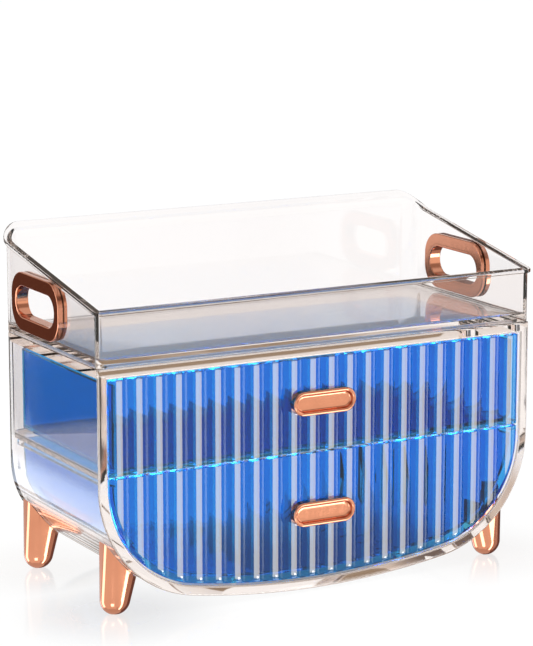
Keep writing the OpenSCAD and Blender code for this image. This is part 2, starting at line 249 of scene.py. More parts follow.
class Surface:
    """Patches of grid points, sewn into one closed mesh."""

    def __init__(self) -> None:
        """Starts with no patches."""
        self.border: Callable[[Array, Array], Array] | None = None
        self.points: list[Array] = []
        self.quads: list[Array] = []
        self.count = 0

    def patch(self, grid: Array, wrap: bool = False) -> Surface:
        """Adds one grid, whose neighbouring points make quads.

        Args:
            grid: Points as rows by columns by three, in millimetres.
            wrap: Joins the last column to the first.

        Returns:
            The surface itself.
        """
        rows, columns = grid.shape[:2]
        index = np.arange(rows * columns).reshape(rows, columns) + self.count
        if wrap:
            index = np.concatenate([index, index[:, :1]], axis=1)
        corners = [index[:-1, :-1], index[:-1, 1:], index[1:, 1:], index[1:, :-1]]
        self.quads.append(np.stack(corners, axis=-1).reshape(-1, 4))
        self.points.append(grid.reshape(-1, 3))
        self.count += rows * columns
        return self

    def cap(self, loop: Array, steps: int = 2) -> Surface:
        """Closes a loop with a fan and returns the surface itself."""
        return self.patch(fan(loop, steps), wrap=True)

    def add(self, other: Surface) -> Surface:
        """Takes over the patches of another surface.

        Args:
            other: The surface that is added.

        Returns:
            The surface itself.
        """
        self.quads += [quads + self.count for quads in other.quads]
        self.points += other.points
        self.count += other.count
        return self

    def mesh(self, name: str, sharp: float) -> bpy.types.Mesh:
        """Sews the patches at their shared points.

        Args:
            name: Name of the mesh.
            sharp: Angle in degrees above which an edge stays sharp.

        Returns:
            The closed mesh in metres, with its faces outwards.
        """
        made = bpy.data.meshes.new(name)
        points = np.concatenate(self.points) * MM
        made.from_pydata(points.tolist(), [], np.concatenate(self.quads).tolist())
        work = bmesh.new()
        work.from_mesh(made)
        bmesh.ops.remove_doubles(work, verts=work.verts, dist=WELD)
        bmesh.ops.recalc_face_normals(work, faces=work.faces)
        work.to_mesh(made)
        work.free()
        made.polygons.foreach_set("use_smooth", np.ones(len(made.polygons), bool))
        if self.border:
            flat = np.empty(3 * len(made.vertices))
            made.vertices.foreach_get("co", flat)
            x, _, z = flat.reshape(-1, 3).T / MM
            made.attributes.new("border", "FLOAT", "POINT").data.foreach_set("value", self.border(x, z))
        made.set_sharp_from_angle(angle=math.radians(sharp))
        return made


class Sketch:
    """Adds nodes to a shader tree and links them."""

    def __init__(self, tree: bpy.types.NodeTree) -> None:
        """Starts on an emptied tree."""
        self.tree = tree
        tree.nodes.clear()

    def node(self, kind: str, inputs: dict | None = None, **settings: object) -> bpy.types.Node:
        """Adds one node.

        Args:
            kind: Node type.
            inputs: Values, or output sockets to link, by socket name or number.
            settings: Properties of the node.

        Returns:
            The new node.
        """
        made = self.tree.nodes.new(kind)
        for name, value in settings.items():
            setattr(made, name, value)
        for key, value in (inputs or {}).items():
            socket = made.inputs[key]
            if isinstance(value, Socket):
                self.tree.links.new(value, socket)
            else:
                socket.default_value = value
        return made

    def math(self, operation: str, *values: object) -> Socket:
        """Result of a math node on its values or sockets."""
        return self.node("ShaderNodeMath", dict(enumerate(values)), operation=operation).outputs[0]

    def product(self, first: object, *others: object) -> Socket:
        """Product of several values or sockets.

        Args:
            first: Value or socket.
            others: More of them.

        Returns:
            The product.
        """
        for other in others:
            first = self.math("MULTIPLY", first, other)
        return first

    def axes(self) -> list[Socket]:
        """X, Y and Z on the object's own coordinates."""
        where = self.node("ShaderNodeTexCoord").outputs["Object"]
        return self.node("ShaderNodeSeparateXYZ", {0: where}).outputs

    def ramp(self, value: object, source: Pair, target: Pair) -> Socket:
        """Smooth step of a value from one range to another."""
        inputs = {0: value, 1: source[0], 2: source[1], 3: target[0], 4: target[1]}
        return self.node("ShaderNodeMapRange", inputs, interpolation_type="SMOOTHSTEP").outputs[0]

    def band(self, value: object, middle: float, edge: Pair) -> Socket:
        """One round a middle value, falling to zero between two distances from it."""
        aside = self.math("ABSOLUTE", self.math("SUBTRACT", value, middle))
        return self.ramp(aside, edge, (1.0, 0.0))

    def mix(self, share: object, first: object, second: object) -> Socket:
        """Colour between two colours.

        Args:
            share: Share of the second colour.
            first: First colour.
            second: Second colour.

        Returns:
            The mixed colour.
        """
        made = self.node("ShaderNodeMix", data_type="RGBA")
        for key, value in ((0, share), (6, first), (7, second)):
            if isinstance(value, Socket):
                self.tree.links.new(value, made.inputs[key])
            else:
                made.inputs[key].default_value = value if key == 0 else (*value, 1.0)
        return made.outputs[2]

    def noise(self, scale: float, detail: float, stretch: Triple = (1, 1, 1)) -> Socket:
        """Noise on the piece's own coordinates, drawn out along its axes by stretch.

        Args:
            scale: Waves in a metre.
            detail: Octaves.
            stretch: Factor on each axis.

        Returns:
            The noise, from 0 to 1.
        """
        where = self.node("ShaderNodeTexCoord").outputs["Object"]
        turned = self.node("ShaderNodeMapping", {"Vector": where, "Scale": stretch}).outputs[0]
        inputs = {"Vector": turned, "Scale": scale, "Detail": detail}
        return self.node("ShaderNodeTexNoise", inputs).outputs["Fac"]


@dataclass(frozen=True)
class Finish:
    """Finish of a piece: the name of its material and the record's slot."""

    name: str
    slot: str

    def material(self) -> bpy.types.Material:
        """Material of the finish, made once.

        Returns:
            The material.
        """
        made = bpy.data.materials.get(self.name)
        if made is None:
            made = bpy.data.materials.new(self.name)
            made.use_nodes = True
            sketch = Sketch(made.node_tree)
            sketch.node("ShaderNodeOutputMaterial", self.shaders(sketch))
        return made

    def shaders(self, sketch: Sketch) -> dict[str, Socket]:
        """Shaders of the material by the socket that they go to."""
        raise NotImplementedError


@dataclass(frozen=True)
class Plastic(Finish):
    """Polished see-through plastic.

    Its tint works at each face. The absorption darkens long ways through the wall, as along an edge. The
    crowns are the pitch, width and start of strips across X in millimetres with a strong mirror coat: a
    painted highlight, which draws bright stripes of the surroundings' reflection on the flute crowns. They
    fade over the soft share of a pitch and between two distances from the border.
    """

    tint: Triple
    deep_tint: Triple
    absorbed: Triple
    density: float
    ior: float = 1.49
    crowns: Triple | None = None
    crown_soft: float = 0.012
    crown_end: Pair = (2.3, 2.9)

    def shaders(self, sketch: Sketch) -> dict[str, Socket]:
        """Plastic with faint flow marks in its tint, gloss and flatness.

        Args:
            sketch: Sketch of the material.

        Returns:
            The surface, and the absorption where it has one.
        """
        flow = sketch.noise(scale=9.0, detail=2.0, stretch=(1.0, 1.0, 0.35))
        haze = sketch.noise(scale=70.0, detail=3.0)
        tint = sketch.mix(sketch.ramp(flow, (0.3, 0.7), (0.0, 1.0)), self.tint, self.deep_tint)
        gloss = sketch.ramp(haze, (0.35, 0.75), (0.0, 0.025))
        bump = sketch.node("ShaderNodeBump", {"Strength": 0.12, "Distance": 0.0004, "Height": flow})
        inputs = {
            "Base Color": tint,
            "Roughness": gloss,
            "IOR": self.ior,
            "Transmission Weight": 1.0,
            "Normal": bump.outputs[0],
        }
        if self.crowns:
            # Painted highlight: a mirror coat of IOR 4, only on the crown strips, draws bright stripes of
            # the surroundings' reflection.
            inputs |= {"Coat Weight": self.crown_highlight_mask(sketch), "Coat Roughness": 0.0, "Coat IOR": 4.0}
        shaders = {"Surface": sketch.node("ShaderNodeBsdfPrincipled", inputs).outputs[0]}
        if self.density > 0:
            inside = {"Color": (*self.absorbed, 1.0), "Density": self.density}
            shaders["Volume"] = sketch.node("ShaderNodeVolumeAbsorption", inside).outputs[0]
        return shaders

    def crown_highlight_mask(self, sketch: Sketch) -> Socket:
        """Strips of strong mirror coat on the flute crowns, a painted highlight: one where X lies near the
        middle of a flute.

        Args:
            sketch: Sketch of the material.

        Returns:
            One on a strip and zero beside it.
        """
        pitch, width, start = (size * MM for size in self.crowns)
        shifted = sketch.math("ADD", sketch.axes()[0], start)
        along = sketch.math("FRACT", sketch.math("DIVIDE", shifted, pitch))
        edge = width / pitch / 2
        strip = sketch.band(along, 0.5, (edge - self.crown_soft, edge + self.crown_soft))
        border = sketch.node("ShaderNodeAttribute", attribute_name="border").outputs["Fac"]
        return sketch.product(strip, sketch.ramp(border, self.crown_end, (0.0, 1.0)))


@dataclass(frozen=True)
class Plating(Finish):
    """Polished metal plating with faint polishing marks."""

    bright: Triple
    deep: Triple
    gloss: Pair

    def shaders(self, sketch: Sketch) -> dict[str, Socket]:
        """Metal with clouds in its tint and fine grain in its gloss.

        Args:
            sketch: Sketch of the material.

        Returns:
            The surface.
        """
        cloud = sketch.noise(scale=45.0, detail=2.0)
        grain = sketch.noise(scale=900.0, detail=2.0, stretch=(1.0, 1.0, 0.2))
        tint = sketch.mix(sketch.ramp(cloud, (0.3, 0.7), (0.0, 1.0)), self.bright, self.deep)
        gloss = sketch.ramp(grain, (0.3, 0.7), self.gloss)
        bump = sketch.node("ShaderNodeBump", {"Strength": 0.05, "Distance": 0.0002, "Height": cloud})
        shader = sketch.node(
            "ShaderNodeBsdfPrincipled",
            {"Base Color": tint, "Metallic": 1.0, "Roughness": gloss, "Normal": bump.outputs[0]},
        )
        return {"Surface": shader.outputs[0]}


CLEAR = Plastic(
    "clear plastic",
    "clear_plastic",
    tint=(0.955, 0.935, 0.93),
    deep_tint=(0.935, 0.91, 0.905),
    absorbed=(0.95, 0.88, 0.83),
    density=6.0,
)
BLUE = Plastic(
    "blue plastic",
    "blue_plastic",
    tint=(0.03, 0.45, 0.87),
    deep_tint=(0.02, 0.37, 0.84),
    absorbed=(0.5, 0.75, 0.95),
    density=0.0,
    ior=1.4,
)
FRONT_W = 269.0
FLUTES = 22
# The fluted fronts carry the painted highlight strips, one on each flute crown.
FLUTED_BLUE = replace(
    BLUE, name="fluted blue plastic", density=25.0, crowns=(FRONT_W / FLUTES, 3.6, FRONT_W / 2)
)
ROSE_GOLD = Plating(
    "rose gold plating",
    "rose_gold",
    bright=(0.67, 0.295, 0.185),
    deep=(0.62, 0.265, 0.165),
    gloss=(0.07, 0.13),
)


@dataclass
class Piece:
    """One shown piece: its surface, finish, body and the solids that it stands for."""

    name: str
    surface: Surface
    finish: Finish
    body: Body
    nodes: tuple[str, ...]
    sharp: float = 32.0
    bevel: float = 0.0
    bevel_angle: float = 60.0

    def publish(self) -> None:
        """Makes the object, dresses it and lets it ride on its body."""
        made = bpy.data.objects.new(self.name, self.surface.mesh(self.name, self.sharp))
        bpy.context.scene.collection.objects.link(made)
        made.data.materials.append(self.finish.material())
        if self.bevel:
            edges = made.modifiers.new("soft edges", "BEVEL")
            edges.width, edges.segments, edges.limit_method = self.bevel * MM, 2, "ANGLE"
            edges.angle_limit, edges.use_clamp_overlap = math.radians(self.bevel_angle), False
        even = made.modifiers.new("even shading", "WEIGHTED_NORMAL")
        even.keep_sharp = True
        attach(made, self.body.value)
        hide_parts(*self.nodes)
        LOG.info("%s: %d faces on %s", self.name, len(made.data.polygons), self.body.value)


@dataclass(frozen=True)
class Bowl:
    """Front view of the cabinet: straight sides, large lower corners and a gently bowed underside."""

    half_w: float = 141.5
    corner_r: float = 69.5
    belly_r: float = 500.0
    belly_z: float = 1.5

    @property
    def corner_x(self) -> float:
        """Distance of the corner centres from the middle."""
        return self.half_w - self.corner_r

    @property
    def belly_cz(self) -> float:
        """Height of the underside's centre."""
        return self.belly_z + self.belly_r

    @property
    def lean(self) -> float:
        """Angle in radians at which corner and underside meet."""
        return math.asin(self.corner_x / (self.belly_r - self.corner_r))

    @property
    def corner_z(self) -> float:
        """Height of the corner centres."""
        return self.belly_cz - (self.belly_r - self.corner_r) * math.cos(self.lean)

    def lower(self, corner: int = 36, belly: int = 40) -> Outline:
        """Lower outline from the left side over the underside to the right side.

        Args:
            corner: Points on each corner.
            belly: Points on the underside.

        Returns:
            The open outline.
        """
        lean = math.degrees(self.lean)
        x, z = self.corner_x, self.corner_z
        step = 2 * lean / (belly + 1)
        return Outline.join(
            Outline.arc((-x, z), self.corner_r, 180, 270 - lean, corner),
            Outline.arc((0, self.belly_cz), self.belly_r, 270 - lean + step, 270 + lean - step, belly),
            Outline.arc((x, z), self.corner_r, 270 + lean, 360, corner),
        )

    def floor(self, x: Array, inset: float) -> Array:
        """Height of the lower outline at X for an inset: the underside's circle or the corner's.

        Args:
            x: X values.
            inset: Depth of the parallel.

        Returns:
            The heights.
        """
        across = np.abs(x)
        meet = (self.belly_r - inset) * math.sin(self.lean)
        belly = self.belly_cz - np.sqrt((self.belly_r - inset) ** 2 - across**2)
        rest = np.maximum((self.corner_r - inset) ** 2 - np.maximum(across - self.corner_x, 0) ** 2, 0)
        return np.where(across <= meet, belly, self.corner_z - np.sqrt(rest))

    def depth(self, x: Array, z: Array) -> Array:
        """Distance of a point inwards from the outline.

        Args:
            x: X values.
            z: Z values.

        Returns:
            The distances.
        """
        dx, dz = np.abs(x) - self.corner_x, z - self.corner_z
        at_corner = dx * math.cos(self.lean) + dz * math.sin(self.lean) > 0
        corner = self.corner_r - np.hypot(dx, np.minimum(dz, 0))
        belly = self.belly_r - np.hypot(x, z - self.belly_cz)
        return np.where(dz >= 0, self.half_w - np.abs(x), np.where(at_corner, corner, belly))


@dataclass(frozen=True)
class Bay:
    """Front view between a lower outline and a level top, with columns straight up from the outline."""

    lower: Outline
    top: float
    top_drop: float
    rows: int = 8

    def grid(self, inset: float) -> Array:
        """Points as columns by rows by two for an inset.

        Args:
            inset: Depth of the parallel.

        Returns:
            The grid of points.
        """
        foot = self.lower.inset(inset)
        share = np.linspace(0, 1, self.rows + 1)
        height = self.top - self.top_drop * inset - foot[:, 1:]
        x = np.repeat(foot[:, :1], self.rows + 1, axis=1)
        return np.stack([x, foot[:, 1:] + height * share], axis=-1)

    def loop(self, inset: float) -> Array:
        """Closed border of the grid."""
        g = self.grid(inset)
        return np.concatenate([g[:, 0], g[-1, 1:-1], g[::-1, -1], g[0, -2:0:-1]])

    def cup(self, inset: float) -> Array:
        """Open border: down the left side, along the lower outline and up the right side."""
        g = self.grid(inset)
        return np.concatenate([g[0, :0:-1], g[:, 0], g[-1, 1:]])


@dataclass(frozen=True)
class BackWall:
    """Plan of a back with round upright corners."""

    half_w: float
    back_y: float
    radius: float

    def reach(self, x: Array) -> Array:
        """Y of the back at X: a quarter circle near each side, straight between."""
        out = np.clip(np.abs(x) - (self.half_w - self.radius), 0, self.radius)
        return self.back_y - self.radius + np.sqrt(self.radius**2 - out**2)


def lathe(outline: Outline, stations: list[Pair], axes: str = "xyz") -> Array:
    """Rings of an outline's parallels at given heights.

    Args:
        outline: Closed outline.
        stations: Pairs of inset and height.
        axes: Where the outline's first and second axis and the height go.

    Returns:
        Points as stations by outline points by three.
    """
    rings = [np.column_stack([outline.inset(d), np.full(len(outline.radius), h)]) for d, h in stations]
    order = [axes.index(axis) for axis in "xyz"]
    return np.stack(rings)[:, :, order]


def slab(outline: Outline, low: float, high: float, edge: float) -> Surface:
    """Flat plate with round edges.

    Args:
        outline: Plan of the plate.
        low: Height of its underside.
        high: Height of its top.
        edge: Radius of its edges.

    Returns:
        The closed surface.
    """
    c, s = quarter(3)
    under = [(edge * a, low + edge * b) for a, b in zip(s, c)]
    over = [(edge * a, high - edge * b) for a, b in zip(c, s)]
    rings = lathe(outline, under + over)
    return Surface().patch(rings, wrap=True).cap(rings[0]).cap(rings[-1])


def bar(section: Array, start: float, stop: float) -> Surface:
    """Prism along Y.

    Args:
        section: Closed front view of the prism.
        start: Y of its front.
        stop: Y of its back.

    Returns:
        The closed surface.
    """
    rings = place(section[None, :, 0], np.array([[start], [stop]]), section[None, :, 1])
    return Surface().patch(rings, wrap=True).cap(rings[0], 1).cap(rings[1], 1)


@dataclass
class Cabinet:
    """Clear housing with its shelf, ledges, runner ribs and locating lip."""

    bowl: Bowl
    front_y: float = -63.9
    back_y: float = 66.1
    top: float = 144.5
    wall: float = 6.0
    back_wall: float = 3.0
    back_r: float = 12.0
    edge: float = 1.1
    lip_inset: float = 6.2
    lip_w: float = 2.0
    lip_h: float = 1.0
    lip_edge: float = 0.3
    lip_r: float = 3.5
    shelf_z: Pair = (81.5, 84.5)
    shelf_front_y: float = -58.7
    shelf_fit: float = 0.15
    shelf_r: float = 0.8
    shelf_edge: float = 0.5
    ledge: float = 3.0
    rib_x: float = 55.0
    rib_w: float = 3.0
    rib_inset: float = 10.1
    gap: float = 0.03

    def shell(self) -> Surface:
        """Housing: the front outline carried back as two walls, with two backs and a round front edge.

        Returns:
            The closed surface with its fittings.
        """
        bay = Bay(self.bowl.lower(), self.top, 1.0)
        wall, back = self.wall, self.back_wall
        outer = BackWall(self.bowl.half_w, self.back_y, self.back_r)
        inner = BackWall(self.bowl.half_w - wall, self.back_y - back, self.back_r - back)
        c, s = quarter()
        share = np.linspace(0, 1, 7)[:, None]
        made = Surface()
        hull, hollow = bay.loop(0), bay.loop(wall)
        start = self.front_y + self.edge
        stop = outer.reach(hull[:, 0]) - self.edge
        made.patch(place(hull[:, 0], start + (stop - start) * share, hull[:, 1]), wrap=True)
        front = [(self.edge * a, start - self.edge * (1 - b)) for a, b in zip(c, s)]
        front += [(wall - inset, y) for inset, y in front[::-1]]
        rings = [(bay.loop(d), y) for d, y in front]
        made.patch(np.stack([place(ring[:, 0], y, ring[:, 1]) for ring, y in rings]), wrap=True)
        stop = inner.reach(hollow[:, 0])
        made.patch(place(hollow[:, 0], start + (stop - start) * share, hollow[:, 1]), wrap=True)
        rings = [(bay.loop(self.edge * a), self.edge * b) for a, b in zip(c, s)]
        rings = [place(r[:, 0], outer.reach(r[:, 0]) - drop, r[:, 1]) for r, drop in rings]
        made.patch(np.stack(rings), wrap=True)
        for grid, rear in ((bay.grid(self.edge), outer), (bay.grid(wall), inner)):
            made.patch(place(grid[..., 0], rear.reach(grid[..., 0]), grid[..., 1]))
        return self.fittings(made)

    def fittings(self, made: Surface) -> Surface:
        """Adds the lip, ledges and ribs that are moulded on the housing.

        Args:
            made: Surface of the housing.

        Returns:
            The same surface.
        """
        low, high = (-self.bowl.half_w, self.front_y), (self.bowl.half_w, self.back_y)
        plan = Outline.box(low, high, (self.lip_r, self.lip_r, self.back_r, self.back_r))
        z0, z1, e = self.top + self.gap, self.top + self.lip_h, self.lip_edge
        d0, d1 = self.lip_inset, self.lip_inset + self.lip_w
        section = [(d0, z0), (d0, z1 - e), (d0 + e, z1), (d1 - e, z1), (d1, z1 - e), (d1, z0), (d0, z0)]
        made.patch(lathe(plan, section), wrap=True)
        start, end = self.shelf_front_y, self.back_y - self.back_wall
        wall, under = self.bowl.half_w - self.wall - self.gap, self.shelf_z[0] - self.gap
        ledge_x = wall - self.ledge * np.array([0, 1, 1, 0])
        ledge_z = under - self.ledge * np.array([1, 1, 0, 0])
        rib_x = self.rib_x + self.rib_w / 2 * np.array([-1, 1, 1, -1])
        rib_low = self.bowl.floor(rib_x[:2], self.wall + self.gap)
        rib_z = np.concatenate([rib_low, self.bowl.floor(rib_x[2:], self.rib_inset)])
        for side in Side:
            made.add(bar(np.stack([side.value * ledge_x, ledge_z], 1), start, end - self.back_r))
            made.add(bar(np.stack([side.value * rib_x, rib_z], 1), start, end - self.gap))
        return made

    def shelf(self) -> Surface:
        """Flat plate between the drawers.

        Returns:
            The closed surface.
        """
        half = self.bowl.half_w - self.wall - self.shelf_fit
        back, r = self.back_y - self.back_wall - self.shelf_fit, self.back_r - self.back_wall
        plan = Outline.box((-half, self.shelf_front_y), (half, back), (self.shelf_r, self.shelf_r, r, r))
        return slab(plan, *self.shelf_z, self.shelf_edge)

    def publish(self) -> None:
        """Makes the housing and the shelf."""
        Piece("clear_housing", self.shell(), CLEAR, Body.CABINET, ("cabinet_shell",)).publish()
        Piece("clear_shelf", self.shelf(), CLEAR, Body.CABINET, ("middle_shelf",)).publish()


@dataclass
class Drawer:
    """One drawer: blue tub, fluted front and rose-gold pull."""

    name: str
    body: Body
    bowl: Bowl
    tub_outline: Outline
    tub_inset: float
    tub_top: float
    front_z: Pair
    pull_z: float
    tub_t: float = 2.0
    tub_half_w: float = 131.1
    tub_back_y: float = 59.1
    tub_back_r: float = 9.0
    front_y: float = -63.9
    front_t: float = 3.0
    front_w: float = FRONT_W
    front_inset: float = 7.0
    flutes: int = FLUTES
    flute_h: float = 1.2
    flute_land: float = 0.8
    edge: float = 2.2
    level_edge: float = 0.4
    pull: Pair = (41.0, 14.5)
    pull_rim: float = 2.4
    pull_proud: float = 4.0
    pull_floor: float = 2.4
    dish_r: float = 1.5
    gap: float = 0.05
    tub_bevel: float = 0.4
    front_sharp: float = 14.0
    flute_steps: int = 15
    end_steps: int = 40
    front_rows: int = 33

    @property
    def face_y(self) -> float:
        """Plane of the lands between the flutes."""
        return self.front_y + self.flute_h

    def border(self, x: Array, z: Array) -> Array:
        """Distance of a point inwards from the front's bowed border."""
        return self.bowl.depth(x, z) - self.front_inset

    def tub(self) -> Surface:
        """Open tub: its section carried back as outer and inner wall, with a back wall and a level rim.

        Returns:
            The closed surface.
        """
        t, r = self.tub_t, self.tub_back_r
        bay = Bay(self.tub_outline, self.tub_top, 0.0)
        outer = BackWall(self.tub_half_w, self.tub_back_y, r)
        inner = BackWall(self.tub_half_w - t, self.tub_back_y - t, r - t)
        start = self.face_y + self.front_t + self.gap
        share = np.linspace(0, 1, 9)[:, None]
        made, borders = Surface(), []
        for inset, wall in ((self.tub_inset, outer), (self.tub_inset + t, inner)):
            cup, back = bay.cup(inset), bay.grid(inset)
            side = place(cup[:, 0], start + (wall.reach(cup[:, 0]) - start) * share, cup[:, 1])
            rear = place(back[..., 0], wall.reach(back[..., 0]), back[..., 1])
            made.patch(side).patch(rear)
            borders.append((side[0], np.concatenate([side[:, 0], rear[:, -1], side[::-1, -1]])))
        made.patch(np.stack([borders[0][0], borders[1][0]]))
        made.patch(np.stack([borders[0][1], borders[1][1]]))
        return made

    def flute(self, x: Array) -> Array:
        """Depth of the fluted face behind the crowns: r - sqrt(r^2 - dx^2) on an arc, all of it on a land.

        Args:
            x: X values.

        Returns:
            The depths.
        """
        pitch = self.front_w / self.flutes
        half = (pitch - self.flute_land) / 2
        r = (self.flute_h**2 + half**2) / (2 * self.flute_h)
        dx = (x + self.front_w / 2) % pitch - pitch / 2
        arc = r - np.sqrt(np.maximum(r**2 - dx**2, 0))
        return np.where(np.abs(dx) < half, arc, self.flute_h)

    def columns(self) -> Array:
        """X of the front's columns: even steps on each flute, its land edges, closer steps at the ends.

        Returns:
            The X values, rising.
        """
        half, pitch = self.front_w / 2, self.front_w / self.flutes
        land = self.flute_land / 2
        one = np.concatenate([[0.0], np.linspace(land, pitch - land, self.flute_steps)])
        even = (np.arange(self.flutes)[:, None] * pitch + one).ravel() - half
        turn = np.radians(np.linspace(0, 60, self.end_steps))
        end = self.bowl.corner_x + (self.bowl.corner_r - self.front_inset) * np.cos(turn)
        rim = half - self.level_edge * quarter()[0]
        every = np.concatenate([even, end, -end, rim, -rim, [-half, half]])
        return np.unique(np.clip(every, -half, half).round(3))

    def front(self) -> Surface:
        """Fluted plate: y over x and z; crowns sink to the lands at the border as a quarter ellipse.

        Returns:
            The closed surface, with the distance from the border as its attribute.
        """
        x = self.columns()[:, None]
        low, high = self.front_z
        foot = np.maximum(self.bowl.floor(x, self.front_inset), low)
        share = np.sin(np.linspace(0, np.pi / 2, self.front_rows)) ** 2
        z = foot + (high - foot) * share
        level = np.minimum(np.minimum(high - z, z - low), self.front_w / 2 - np.abs(x))
        border = np.minimum(self.border(x, z), level * self.edge / self.level_edge)
        share = 1 - np.clip(border, 0, self.edge) / self.edge
        turn = self.flute_h * (1 - np.sqrt(1 - share**2))
        face = place(x, self.front_y + np.maximum(self.flute(x), turn), z)
        rear = place(x, self.face_y + self.front_t, z)
        ring = [np.concatenate([g[:, 0], g[-1], g[::-1, -1], g[0, ::-1]]) for g in (face, rear)]
        made = Surface().patch(face).patch(rear).patch(np.stack(ring))
        made.border = self.border
        return made

    def handle(self) -> Surface:
        """Pull: a capsule's parallels carried over a round rim, down a fillet and across the sunk floor.

        Returns:
            The closed surface.
        """
        r, top = self.pull_rim / 2, self.flute_h + self.pull_proud - self.pull_rim / 2
        turn = np.radians(np.linspace(180, 0, 15))
        fillet, floor = self.dish_r, self.pull_floor
        flat = np.linspace(self.pull_rim + fillet, self.pull[1] / 2, 4)[1:]
        c, s = quarter(6)
        stations = [(self.pull[1] / 2, 0.0), (0.0, 0.0), (0.0, top * 0.5)]
        stations += [(r + r * math.cos(a), top + r * math.sin(a)) for a in turn]
        stations += [(self.pull_rim + fillet * a, floor + fillet * b) for a, b in zip(c, s)]
        stations += [(inset, floor) for inset in flat]
        rings = lathe(Outline.oblong(*self.pull, self.pull[1] / 2, 18), stations, "xzy")
        rings[..., 1] = self.face_y - rings[..., 1]
        rings[..., 2] += self.pull_z
        return Surface().patch(rings, wrap=True)

    def publish(self) -> None:
        """Makes the tub, front and pull."""
        name, body, node = self.name, self.body, self.body.value
        tub = Piece(f"{name}_tub", self.tub(), BLUE, body, (f"{node}_tub",), bevel=self.tub_bevel)
        pull = Piece(f"{name}_pull", self.handle(), ROSE_GOLD, body, (f"{node}_pull",))
        front = Piece(f"{name}_fluted_front", self.front(), FLUTED_BLUE, body, (f"{node}_front",))
        front.sharp = self.front_sharp
        for piece in (tub, pull, front):
            piece.publish()


